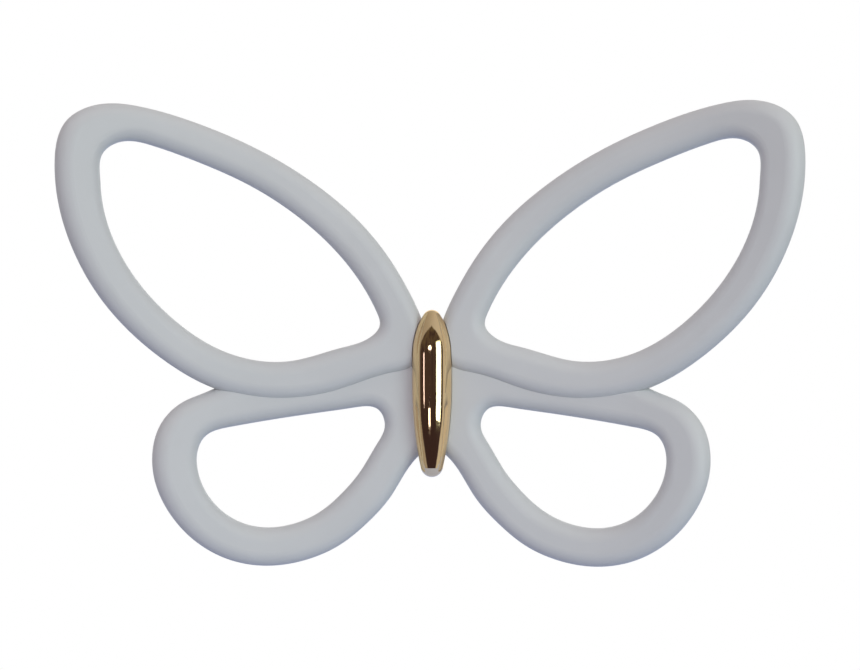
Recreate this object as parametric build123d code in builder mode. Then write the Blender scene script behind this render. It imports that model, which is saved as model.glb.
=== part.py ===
# Wall ornament in the form of a butterfly: four open wing loops and a polished body.
# Millimetres. +X is the butterfly's right as seen from the front, +Z is up, the front faces -Y.
# The origin lies on the wall, straight behind the middle of the body.
import os
from math import atan2, degrees

from build123d import *

# Wings: how far each pair reaches from the centre plane, and how far up or down from the body's middle
fore_reach = 119.7
fore_height = 93.3
hind_reach = 90.6
hind_drop = 56.7

# Limbs of the wing loops: depth from front to back, and the rounding of all their edges
limb_depth = 11.0
limb_rounding = 4.6

# Middle of each limb, measured out from the wall at the centre plane, and the forward curl at full reach
fore_standoff = 9.0
hind_standoff = 6.5
fore_curl = 34.0
hind_curl = 20.0

# Body: a spindle, round in section, cut flat where it seats on the spine. It has its full width between
# two shoulders, whose heights above its middle are shares of its length.
body_length = 55.0
body_width = 13.0
body_axis_standoff = 13.0
body_upper_arc_radius = 24.0
body_lower_arc_radius = 135.0
upper_shoulder_share = 0.236
lower_shoulder_share = 0.055

# Spine: the hidden core between the wings' roots
spine_depth = 10.5
spine_inset = 0.9
spine_top = 23.0
spine_bottom = 21.0

# Keyhole slot in the spine's back, for the head and shank of the wall screw. Its entry lies at
# keyhole_height, so that the piece hangs from above its centre of mass.
wall_head_radius = 2.5
wall_shank_radius = 1.3
keyhole_clearance = 0.3
keyhole_lip = 1.6
keyhole_hollow = 2.9
keyhole_travel = 6.3
keyhole_height = 12.5

# Fasteners
glue_gap = 0.15
fit_gap = 0.05
dowel_radius = 1.5
dowel_length = 23.0
dowel_standoff = 7.8
lap_pin_radius = 1.0
lap_pin_length = 9.5
pin_chamfer = 0.3
screw_radius = 1.5
screw_head_radius = 2.8
screw_length = 14.0
screw_sunk = 0.3
screw_socket_radius = 1.1
screw_socket_depth = 1.2
insert_radius = 2.1
insert_length = 4.5

# Each wing is a closed loop: its outer edge and the edge of its opening, as points for a smooth curve.
# Shares of the reach and of the height above the body's middle, from the tip round by the lower limb.
fore_edge_shares = [
    (0.999, 0.810),
    (0.994, 0.683),
    (0.947, 0.472),
    (0.878, 0.315),
    (0.798, 0.197),
    (0.709, 0.102),
    (0.604, 0.024),
    (0.476, -0.018),
    (0.359, -0.018),
    (0.245, 0.014),
    (0.121, 0.066),
    (0.038, 0.105),
    (0.018, 0.182),
    (0.031, 0.266),
    (0.066, 0.363),
    (0.116, 0.472),
    (0.214, 0.624),
    (0.307, 0.725),
    (0.440, 0.834),
    (0.606, 0.930),
    (0.778, 0.994),
    (0.886, 0.998),
    (0.972, 0.934),
]
fore_opening_shares = [
    (0.881, 0.722),
    (0.852, 0.541),
    (0.774, 0.364),
    (0.689, 0.249),
    (0.586, 0.159),
    (0.494, 0.119),
    (0.383, 0.115),
    (0.254, 0.160),
    (0.173, 0.197),
    (0.145, 0.241),
    (0.154, 0.289),
    (0.199, 0.394),
    (0.285, 0.529),
    (0.387, 0.641),
    (0.507, 0.737),
    (0.640, 0.812),
    (0.755, 0.863),
    (0.830, 0.872),
    (0.874, 0.832),
]

# The same for the hind wing, as shares of its reach and its drop below the body's middle
hind_edge_shares = [
    (1.000, -0.388),
    (0.988, -0.520),
    (0.935, -0.702),
    (0.858, -0.843),
    (0.727, -0.965),
    (0.587, -1.000),
    (0.455, -0.966),
    (0.339, -0.884),
    (0.242, -0.760),
    (0.153, -0.600),
    (0.066, -0.388),
    (0.000, -0.282),
    (-0.039, -0.141),
    (-0.033, 0.053),
    (0.011, 0.194),
    (0.088, 0.252),
    (0.188, 0.220),
    (0.331, 0.159),
    (0.497, 0.106),
    (0.662, 0.079),
    (0.751, 0.051),
    (0.817, 0.005),
    (0.890, -0.046),
    (0.970, -0.175),
]
hind_opening_shares = [
    (0.844, -0.388),
    (0.836, -0.476),
    (0.785, -0.633),
    (0.702, -0.739),
    (0.608, -0.778),
    (0.519, -0.764),
    (0.411, -0.690),
    (0.323, -0.568),
    (0.266, -0.459),
    (0.205, -0.298),
    (0.175, -0.187),
    (0.200, -0.093),
    (0.289, -0.083),
    (0.419, -0.113),
    (0.573, -0.150),
    (0.730, -0.194),
    (0.815, -0.247),
]

# Heights of the cross dowels and the body's screws, as shares of the body's length
dowel_height_shares = [0.320, -0.145]
screw_height_shares = [0.090, -0.240]

# Place of the lap pin, as shares of the fore wing's reach and height
lap_reach_share = 0.370
lap_height_share = 0.004


def limb_middle(x, standoff, curl, reach):
    """Y of the limb's middle: the wings curve away from the wall with the square of the reach."""
    return -(standoff + curl * (x / reach) ** 2)


def wing_loop(edge_shares, opening_shares, reach, height, standoff, curl):
    """One closed loop: its outline cut through a curved slab of the limbs' depth, all edges rounded."""
    with BuildPart() as loop:
        for shares, mode in ((edge_shares, Mode.ADD), (opening_shares, Mode.SUBTRACT)):
            with BuildSketch(Plane.XZ):
                with BuildLine():
                    Spline(*[(reach * u, height * v) for u, v in shares], periodic=True)
                make_face()
            extrude(amount=reach, mode=mode)
        with BuildSketch(Plane.XY.offset(-reach)):
            with BuildLine():
                faces = []
                for y in (limb_depth / 2 - standoff, -limb_depth / 2 - standoff):
                    # Level as far as the centre plane, then a parabola through the wing's full reach
                    level = Line((-reach, y), (0, y))
                    curved = Bezier((0, y), (reach, y), (2 * reach, y - 4 * curl))
                    faces.append((level @ 0, curved @ 1))
                Line(faces[0][0], faces[1][0])
                Line(faces[0][1], faces[1][1])
            make_face()
        extrude(amount=2 * reach, mode=Mode.INTERSECT)
        fillet(loop.edges().filter_by(lambda edge: edge.length > reach), limb_rounding)
    return loop.part


def body_half_line(grow):
    """Right half of the body's outline, grow outside it: a long arc and a round tip beyond each shoulder."""
    width = body_width / 2 + grow
    upper_shoulder = body_length * upper_shoulder_share
    lower_shoulder = body_length * lower_shoulder_share
    for end, shoulder, radius in (
        (1, upper_shoulder, body_upper_arc_radius),
        (-1, lower_shoulder, body_lower_arc_radius),
    ):
        arc = radius + grow
        height = body_length / 2 + grow - end * shoulder
        # Centre of the tip's arc, where it meets the long arc without a corner
        tip = ((arc - width) ** 2 - (arc - height) ** 2) / (2 * (arc - height))
        turn = degrees(atan2(tip, arc - width))
        CenterArc((width - arc, shoulder), arc, 0, end * turn)
        CenterArc((0, shoulder + end * tip), height - tip, end * turn, end * (90 - turn))
    Line((width, lower_shoulder), (width, upper_shoulder))


def body_spindle(grow):
    """The whole round spindle, before its back is cut flat."""
    with BuildPart() as spindle:
        with BuildSketch(Plane.XZ.offset(body_axis_standoff)):
            with BuildLine():
                body_half_line(grow)
                Line((0, body_length / 2 + grow), (0, -body_length / 2 - grow))
            make_face()
        revolve(axis=Axis((0, -body_axis_standoff, 0), (0, 0, 1)))
    return spindle.part


def spine_block(grow):
    """The spine's outer shape: the body's own outline, drawn in so that the body hides it."""
    with BuildPart() as block:
        with BuildSketch(Plane.XZ):
            with BuildLine():
                body_half_line(grow - spine_inset)
                mirror(about=Plane.YZ)
            make_face()
            with Locations((0, (spine_top - spine_bottom) / 2)):
                Rectangle(body_width, spine_top + spine_bottom + 2 * grow, mode=Mode.INTERSECT)
        extrude(amount=spine_depth + grow)
    return block.part


def along_y(x, z, standoff, radius, length, mode=Mode.ADD):
    """Round bar or hole along Y, from standoff on toward the front."""
    with BuildSketch(Plane.XZ.offset(standoff)) as end:
        with Locations((x, z)):
            Circle(radius)
    extrude(end.sketch, amount=length, mode=mode)


def cross_dowel(z, radius, length, mode=Mode.ADD):
    """Round bar or hole along X, its middle on the centre plane."""
    with BuildSketch(Plane.YZ) as middle:
        with Locations((-dowel_standoff, z)):
            Circle(radius)
    extrude(middle.sketch, amount=length / 2, both=True, mode=mode)


def lap_pin(side, radius, length, mode=Mode.ADD):
    """Upright round bar or hole where the fore wing's lower limb seats on the hind wing."""
    with BuildSketch(Plane.XY.offset(lap_z)) as middle:
        with Locations((side * lap_x, lap_y)):
            Circle(radius)
    extrude(middle.sketch, amount=length / 2, both=True, mode=mode)


dowel_heights = [body_length * share for share in dowel_height_shares]
screw_heights = [body_length * share for share in screw_height_shares]

# The lap pin stands upright in the seat between the fore wing's lower limb and the hind wing
lap_x = fore_reach * lap_reach_share
lap_y = (
    limb_middle(lap_x, fore_standoff, fore_curl, fore_reach)
    + limb_middle(lap_x, hind_standoff, hind_curl, hind_reach)
) / 2
lap_z = fore_height * lap_height_share

spine_seat = spine_block(glue_gap)
body_seat = body_spindle(glue_gap)

with BuildPart() as fore_wing_right:
    add(wing_loop(fore_edge_shares, fore_opening_shares, fore_reach, fore_height, fore_standoff, fore_curl))

with BuildPart() as hind_wing_right:
    add(wing_loop(hind_edge_shares, hind_opening_shares, hind_reach, hind_drop, hind_standoff, hind_curl))
    add(fore_wing_right.part, mode=Mode.SUBTRACT)

# Both roots keep to their own side, seat against spine and body, and take the dowel and the lap pin
for wing, dowel_z in zip((fore_wing_right, hind_wing_right), dowel_heights):
    with wing:
        split(bisect_by=Plane.YZ.offset(glue_gap / 2))
        add(spine_seat, mode=Mode.SUBTRACT)
        add(body_seat, mode=Mode.SUBTRACT)
        cross_dowel(dowel_z, dowel_radius + fit_gap, dowel_length + 2 * fit_gap, Mode.SUBTRACT)
        lap_pin(1, lap_pin_radius + fit_gap, lap_pin_length + 2 * fit_gap, Mode.SUBTRACT)

with BuildPart() as fore_wing_left:
    mirror(fore_wing_right.part, about=Plane.YZ)

with BuildPart() as hind_wing_left:
    mirror(hind_wing_right.part, about=Plane.YZ)

# Body: the spindle with a flat back, and blind holes for the two inserts
with BuildPart() as body:
    add(body_spindle(0))
    with BuildSketch(Plane.XZ):
        Rectangle(2 * body_width, 2 * body_length)
    extrude(amount=spine_depth, mode=Mode.SUBTRACT)
    for z in screw_heights:
        along_y(0, z, spine_depth, insert_radius + fit_gap, insert_length + fit_gap, Mode.SUBTRACT)

# Spine: keyhole slot for the wall screw, dowel holes from side to side, countersunk holes from the back
head_hole_radius = wall_head_radius + keyhole_clearance
shank_slot_radius = wall_shank_radius + keyhole_clearance
slot_middle = keyhole_height + keyhole_travel / 2
with BuildPart() as spine:
    add(spine_block(0))
    with BuildSketch(Plane.XZ):
        with Locations((0, keyhole_height)):
            Circle(head_hole_radius)
        with Locations((0, slot_middle)):
            SlotCenterToCenter(keyhole_travel, 2 * shank_slot_radius, rotation=90)
    extrude(amount=keyhole_lip, mode=Mode.SUBTRACT)
    with BuildSketch(Plane.XZ.offset(keyhole_lip)):
        with Locations((0, slot_middle)):
            SlotCenterToCenter(keyhole_travel, 2 * head_hole_radius, rotation=90)
    extrude(amount=keyhole_hollow, mode=Mode.SUBTRACT)
    for z in dowel_heights:
        cross_dowel(z, dowel_radius + fit_gap, 2 * body_width, Mode.SUBTRACT)
    for z in screw_heights:
        with Locations(Plane((0, 0, z), z_dir=(0, 1, 0))):
            CounterSinkHole(screw_radius + fit_gap, screw_head_radius + fit_gap, spine_depth)

# Cross dowels: each runs through the spine into the left and the right wing
with BuildPart() as wing_dowels:
    for z in dowel_heights:
        cross_dowel(z, dowel_radius, dowel_length)
    chamfer(wing_dowels.edges(), pin_chamfer)

# Lap pins, one on each side
with BuildPart() as lap_pins:
    for side in (-1, 1):
        lap_pin(side, lap_pin_radius, lap_pin_length)
    chamfer(lap_pins.edges(), pin_chamfer)

# Threaded inserts in the body's back
with BuildPart() as body_inserts:
    for z in screw_heights:
        along_y(0, z, spine_depth, insert_radius, insert_length)
        along_y(0, z, spine_depth, screw_radius + fit_gap, insert_length, Mode.SUBTRACT)

# Countersunk screws from the spine's back into the inserts
with BuildPart() as body_screws:
    for z in screw_heights:
        along_y(0, z, screw_sunk, screw_radius, screw_length)
        with BuildSketch(Plane.XZ.offset(screw_sunk)):
            with Locations((0, z)):
                Circle(screw_head_radius - screw_sunk)
        extrude(amount=screw_head_radius - screw_sunk - screw_radius, taper=45)
        with BuildSketch(Plane.XZ.offset(screw_sunk)):
            with Locations((0, z)):
                RegularPolygon(screw_socket_radius, side_count=6)
        extrude(amount=screw_socket_depth, mode=Mode.SUBTRACT)

pieces = {
    "fore_wing_left": fore_wing_left,
    "fore_wing_right": fore_wing_right,
    "hind_wing_left": hind_wing_left,
    "hind_wing_right": hind_wing_right,
    "body": body,
    "spine": spine,
    "wing_dowels": wing_dowels,
    "lap_pins": lap_pins,
    "body_inserts": body_inserts,
    "body_screws": body_screws,
}
os.makedirs("parts", exist_ok=True)
for name, piece in pieces.items():
    piece.part.label = name
    export_step(piece.part, f"parts/{name}.step")
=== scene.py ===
# Butterfly wall ornament: white lacquered wing loops round a gold-plated body, in a pale studio.
# Metres, in the frame of the CAD model: +X the butterfly's right, +Y into the wall, +Z up.
from math import cos, radians, sin

import bmesh
import bpy
from mathutils import Matrix

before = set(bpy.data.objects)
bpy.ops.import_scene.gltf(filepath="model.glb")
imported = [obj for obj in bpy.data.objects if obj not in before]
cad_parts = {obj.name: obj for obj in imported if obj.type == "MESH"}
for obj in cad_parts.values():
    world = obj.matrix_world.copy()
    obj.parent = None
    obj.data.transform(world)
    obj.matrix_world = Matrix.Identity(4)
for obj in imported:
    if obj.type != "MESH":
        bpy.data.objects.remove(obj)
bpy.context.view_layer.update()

MM = 0.001
WHITE = (1, 1, 1, 1)

# A camera or lamp is made looking straight down, and this turn about X makes it look ahead
upright = radians(90)

# Camera: straight in front of the body's middle and a little to the butterfly's right
camera_distance = 900 * MM
camera_azimuth = radians(2.8)
camera_near_clip = 10 * MM
field_width = 286.7 * MM
sensor_width_mm = 36
image_width_px = 860
image_height_px = 670
origin_column_px = 433.8
origin_row_px = 393.4

# Floor: nearly white out to the shadow's inner radius, and fully white beyond its outer radius
floor_drop = 260 * MM
floor_radius = 1000 * MM
floor_front = 420 * MM
floor_segments = 96
shadow_inner_radius = 316 * MM
shadow_outer_radius = 671 * MM

# Room that the metal mirrors. A direction has a part along each axis, from -1 to 1, and each edge in the
# room fades between two such numbers.
backdrop_edge = (0.45, 0.75)
wall_edge = (-1.0, 1.0)
opening_edge = (0.29, 0.37)
arch_edge = (0.70, 0.74)
arch_slope = 0.24
arch_curve = 0.38
sill_edge = (-0.48, -0.45)
sill_curve = 0.41
arch_glow_edge = (-0.35, 0.65)

# Soft light of the studio, which grows from the lower to the higher of these directions
sky_edge = (-0.9, 0.8)

# Noise between these two numbers makes soft patches, stains in the mirrored room, or haze on the gold
patch_edge = (0.3, 0.7)
mottle_edge = (0.25, 0.75)
haze_edge = (0.35, 0.75)

# Lamps
lamp_distance = 1300 * MM
window_distance = 1400 * MM
fill_size = 900 * MM


class Value:
    """A number socket that Python's operators turn into Math nodes."""

    def __init__(self, shader, socket):
        self.shader = shader
        self.socket = socket

    def _math(self, operation, *values):
        return self.shader.value("ShaderNodeMath", {"operation": operation}, values)

    def __add__(self, other):
        return self._math("ADD", self, other)

    def __sub__(self, other):
        return self._math("SUBTRACT", self, other)

    def __mul__(self, other):
        return self._math("MULTIPLY", self, other)

    def __rsub__(self, other):
        return self._math("SUBTRACT", other, self)

    __radd__ = __add__
    __rmul__ = __mul__

    def __abs__(self):
        return self._math("ABSOLUTE", self)

    def either(self, other):
        return self._math("MAXIMUM", self, other)

    def between(self, low, high):
        """0 at low, 1 at high and smooth in between."""
        settings = {"interpolation_type": "SMOOTHSTEP"}
        inputs = {"Value": self, "From Min": low, "From Max": high}
        return self.shader.value("ShaderNodeMapRange", settings, inputs)


class Shader:
    """Builds the nodes of one material or of the world."""

    def __init__(self, tree):
        self.tree = tree
        tree.nodes.clear()

    def node(self, kind, settings=None, inputs=None):
        """Adds a node, sets it up, fills its sockets by name or by order, and returns its outputs."""
        made = self.tree.nodes.new(kind)
        for name, value in (settings or {}).items():
            setattr(made, name, value)
        pairs = inputs.items() if isinstance(inputs, dict) else enumerate(inputs or ())
        for name, value in pairs:
            socket = made.inputs[name]
            value = value.socket if isinstance(value, Value) else value
            if isinstance(value, bpy.types.NodeSocket):
                self.tree.links.new(value, socket)
            else:
                socket.default_value = value
        return made.outputs

    def value(self, kind, settings=None, inputs=None):
        """The first output of a new node, as a Value."""
        return Value(self, self.node(kind, settings, inputs)[0])

    def mix_colours(self, factor, first, second):
        """Colour between first and second by factor."""
        factor_input, first_input, second_input, colour_output = 0, 6, 7, 2
        inputs = {factor_input: factor, first_input: first, second_input: second}
        return self.node("ShaderNodeMix", {"data_type": "RGBA"}, inputs)[colour_output]

    def mix_surfaces(self, factor, first, second):
        return self.node("ShaderNodeMixShader", None, [factor, first, second])[0]

    def place(self):
        """The piece's own coordinates."""
        return self.node("ShaderNodeTexCoord")["Object"]

    def parts(self, vector):
        """The three numbers of a vector."""
        axes = self.node("ShaderNodeSeparateXYZ", None, {"Vector": vector})
        return (Value(self, axes[axis]) for axis in "XYZ")

    def noise(self, where, scale, detail):
        """Smooth noise on these coordinates. On a piece, the scale is in waves per metre."""
        return self.value("ShaderNodeTexNoise", None, {"Vector": where, "Scale": scale, "Detail": detail})

    def relief(self, height, strength, depth):
        """Normal of a surface with this height."""
        inputs = {"Strength": strength, "Distance": depth, "Height": height}
        return self.node("ShaderNodeBump", None, inputs)["Normal"]


def new_material(name):
    material = bpy.data.materials.new(name)
    material.use_nodes = True
    return material, Shader(material.node_tree)


def finish_material(shader, sockets):
    surface = shader.node("ShaderNodeBsdfPrincipled", None, sockets)[0]
    shader.node("ShaderNodeOutputMaterial", None, {"Surface": surface})


def wing_lacquer():
    """White satin lacquer over smooth cast resin: faint tone patches and orange peel."""
    material, shader = new_material("wing_lacquer")
    tone = shader.noise(shader.place(), scale=24, detail=3).between(*patch_edge)
    peel = shader.noise(shader.place(), scale=900, detail=2)
    swell = shader.noise(shader.place(), scale=60, detail=2)
    sockets = {
        "Base Color": shader.mix_colours(tone, (0.592, 0.617, 0.628, 1), (0.616, 0.640, 0.649, 1)),
        "Roughness": 0.46 + 0.10 * tone,
        "Normal": shader.relief(peel * 0.25 + swell, strength=0.12, depth=0.2 * MM),
        "IOR": 1.45,
    }
    finish_material(shader, sockets)
    return material


def gold_plate():
    """Mirror-polished gold plate: a pale warm gold with faint polishing haze."""
    material, shader = new_material("gold_plate")
    haze = shader.noise(shader.place(), scale=180, detail=3).between(*haze_edge)
    polish = shader.noise(shader.place(), scale=1400, detail=1)
    sockets = {
        "Base Color": shader.mix_colours(haze, (0.930, 0.690, 0.385, 1), (0.900, 0.650, 0.345, 1)),
        "Metallic": 1.0,
        "Roughness": 0.045 + 0.05 * haze,
        "Normal": shader.relief(polish, strength=0.02, depth=0.1 * MM),
    }
    finish_material(shader, sockets)
    return material


def bare_metal(name, light, dark, roughness, grain):
    """Plain metal with fine grain, cast, turned or drawn. The grain is given in waves per metre."""
    material, shader = new_material(name)
    grey = shader.noise(shader.place(), scale=grain, detail=3).between(*patch_edge)
    sockets = {
        "Base Color": shader.mix_colours(grey, light, dark),
        "Metallic": 1.0,
        "Roughness": roughness + 0.12 * grey,
        "Normal": shader.relief(grey, strength=0.15, depth=0.1 * MM),
    }
    finish_material(shader, sockets)
    return material


def dress(material, *nodes):
    """Puts one material on every slot of these CAD pieces."""
    for node in nodes:
        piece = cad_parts[node]
        for slot in piece.material_slots:
            slot.material = material


def floor_paint():
    """Cool pale paint that reads white to the camera, a little less so where the shadow falls."""
    material, shader = new_material("studio_floor")
    speckle = shader.noise(shader.place(), scale=9, detail=2).between(*patch_edge)
    aside, back, _ = shader.parts(shader.place())
    away = (aside * aside + back * back).between(shadow_inner_radius**2, shadow_outer_radius**2)
    pale = shader.mix_colours(away, (0.57, 0.57, 0.46, 1), (0.75, 0.75, 0.66, 1))
    ray = shader.node("ShaderNodeLightPath")
    seen = Value(shader, ray["Is Camera Ray"])
    mirrored = Value(shader, ray["Is Glossy Ray"])
    sockets = {
        "Base Color": shader.mix_colours(speckle, (0.42, 0.45, 0.59, 1), (0.45, 0.48, 0.61, 1)),
        "Roughness": 0.9,
        "Emission Color": shader.mix_colours(mirrored, pale, (0.04, 0.14, 0.42, 1)),
        "Emission Strength": seen.either(mirrored),
    }
    surface = shader.node("ShaderNodeBsdfPrincipled", None, sockets)[0]
    # Clear from below, so that it hides nothing there
    clear = shader.node("ShaderNodeBsdfTransparent")[0]
    below = shader.node("ShaderNodeNewGeometry")["Backfacing"]
    shader.node("ShaderNodeOutputMaterial", None, {"Surface": shader.mix_surfaces(below, surface, clear)})
    return material


def studio_floor():
    """Round floor under and behind the ornament."""
    shape = bmesh.new()
    middle = Matrix.Translation((0, floor_radius - floor_front, -floor_drop))
    bmesh.ops.create_circle(
        shape, cap_ends=True, segments=floor_segments, radius=floor_radius, matrix=middle
    )
    mesh = bpy.data.meshes.new("studio_floor")
    shape.to_mesh(mesh)
    shape.free()
    mesh.materials.append(floor_paint())
    floor = bpy.data.objects.new("studio_floor", mesh)
    bpy.context.collection.objects.link(floor)


def studio_world():
    """White backdrop for the camera and in the metal, and a dim room in front, dark behind the camera."""
    world = bpy.data.worlds.new("studio")
    bpy.context.scene.world = world
    world.use_nodes = True
    shader = Shader(world.node_tree)
    direction = shader.node("ShaderNodeTexCoord")["Generated"]
    aside, ahead, up = shader.parts(direction)
    ray = shader.node("ShaderNodeLightPath")

    def glow(colour):
        return shader.node("ShaderNodeBackground", None, {"Color": colour, "Strength": 1.0})[0]

    soft = shader.mix_colours(up.between(*sky_edge), (0.09, 0.09, 0.09, 1), (0.60, 0.55, 0.54, 1))
    # The dark opening behind the camera has a pointed arch at its top and a rounded lower edge.
    # It is a little lighter and mottled toward the arch.
    spread = aside * aside * aside * aside
    under_arch = 1 - (spread * arch_curve + abs(aside) * arch_slope + up).between(*arch_edge)
    above_sill = (up - spread * sill_curve).between(*sill_edge)
    dark = (0 - ahead).between(*opening_edge) * under_arch * above_sill
    mottle = shader.noise(direction, scale=5, detail=3).between(*mottle_edge)
    lighter = up.between(*arch_glow_edge) * mottle
    gloom = shader.mix_colours(lighter, (0.040, 0.025, 0.031, 1), (0.130, 0.105, 0.075, 1))
    walls = shader.mix_colours(aside.between(*wall_edge), (0.35, 0.34, 0.35, 1), (0.55, 0.55, 0.57, 1))
    room = shader.mix_colours(dark, walls, gloom)
    mirrored = shader.mix_colours(ahead.between(*backdrop_edge), room, WHITE)
    lighting = shader.mix_surfaces(ray["Is Glossy Ray"], glow(soft), glow(mirrored))
    seen = Value(shader, ray["Is Camera Ray"]).either(Value(shader, ray["Is Transmission Ray"]))
    shown = shader.mix_surfaces(seen, lighting, glow(WHITE))
    shader.node("ShaderNodeOutputWorld", None, {"Surface": shown})


def soft_light(name, azimuth, elevation, distance, size, watts, colour, in_metal=True, shape="RECTANGLE"):
    """Softbox that faces the body's middle. Azimuth 0 is in front, + toward the butterfly's right."""
    turn = radians(azimuth)
    rise = radians(elevation)
    data = bpy.data.lights.new(name, "AREA")
    data.shape = shape
    data.size, data.size_y = size
    data.energy = watts
    data.color = colour
    lamp = bpy.data.objects.new(name, data)
    lamp.location = (
        distance * sin(turn) * cos(rise),
        -distance * cos(turn) * cos(rise),
        distance * sin(rise),
    )
    lamp.rotation_euler = (upright - rise, 0, turn)
    lamp.visible_camera = False
    lamp.visible_glossy = in_metal
    bpy.context.collection.objects.link(lamp)


def camera():
    data = bpy.data.cameras.new("camera")
    data.sensor_width = sensor_width_mm
    data.lens = sensor_width_mm * camera_distance / field_width
    data.shift_x = (image_width_px / 2 - origin_column_px) / image_width_px
    data.shift_y = (origin_row_px - image_height_px / 2) / image_width_px
    data.clip_start = camera_near_clip
    view = bpy.data.objects.new("camera", data)
    view.location = (camera_distance * sin(camera_azimuth), -camera_distance * cos(camera_azimuth), 0)
    view.rotation_euler = (upright, 0, camera_azimuth)
    bpy.context.collection.objects.link(view)
    bpy.context.scene.camera = view


camera()

# Finishes
spine_metal = bare_metal(
    "spine_metal",
    light=(0.62, 0.62, 0.63, 1),
    dark=(0.52, 0.52, 0.53, 1),
    roughness=0.38,
    grain=500,
)
pin_steel = bare_metal(
    "pin_steel",
    light=(0.58, 0.58, 0.59, 1),
    dark=(0.48, 0.48, 0.50, 1),
    roughness=0.25,
    grain=900,
)
insert_brass = bare_metal(
    "insert_brass",
    light=(0.72, 0.56, 0.30, 1),
    dark=(0.62, 0.46, 0.24, 1),
    roughness=0.28,
    grain=900,
)
screw_steel = bare_metal(
    "screw_steel",
    light=(0.52, 0.53, 0.55, 1),
    dark=(0.42, 0.43, 0.46, 1),
    roughness=0.30,
    grain=900,
)
dress(wing_lacquer(), "fore_wing_left", "fore_wing_right", "hind_wing_left", "hind_wing_right")
dress(gold_plate(), "body")
dress(spine_metal, "spine")
dress(pin_steel, "wing_dowels", "lap_pins")
dress(insert_brass, "body_inserts")
dress(screw_steel, "body_screws")

# Studio
studio_floor()
studio_world()
soft_light(
    "fill",
    azimuth=0,
    elevation=25,
    distance=lamp_distance,
    size=(fill_size, fill_size),
    watts=2.8,
    colour=(1.0, 0.88, 1.0),
    in_metal=False,
)
soft_light(
    "back_fill",
    azimuth=175,
    elevation=12,
    distance=lamp_distance,
    size=(fill_size, fill_size),
    watts=9.0,
    colour=(0.93, 1.0, 0.97),
    in_metal=False,
)
soft_light(
    "window",
    azimuth=43,
    elevation=4.8,
    distance=window_distance,
    size=(720 * MM, 760 * MM),
    watts=5.8,
    colour=(0.88, 1.05, 0.99),
)
soft_light(
    "window_edge",
    azimuth=-44,
    elevation=-1,
    distance=window_distance,
    size=(120 * MM, 220 * MM),
    watts=0.18,
    colour=(1.0, 0.92, 1.25),
)
soft_light(
    "lamp_high",
    azimuth=-9,
    elevation=10.5,
    distance=window_distance,
    size=(460 * MM, 180 * MM),
    watts=0.70,
    colour=(1.0, 1.0, 1.15),
    shape="ELLIPSE",
)
soft_light(
    "lamp_low",
    azimuth=-12,
    elevation=-9.7,
    distance=window_distance,
    size=(260 * MM, 130 * MM),
    watts=0.30,
    colour=(1.0, 1.0, 1.15),
)

bpy.context.scene.view_settings.view_transform = "Standard"
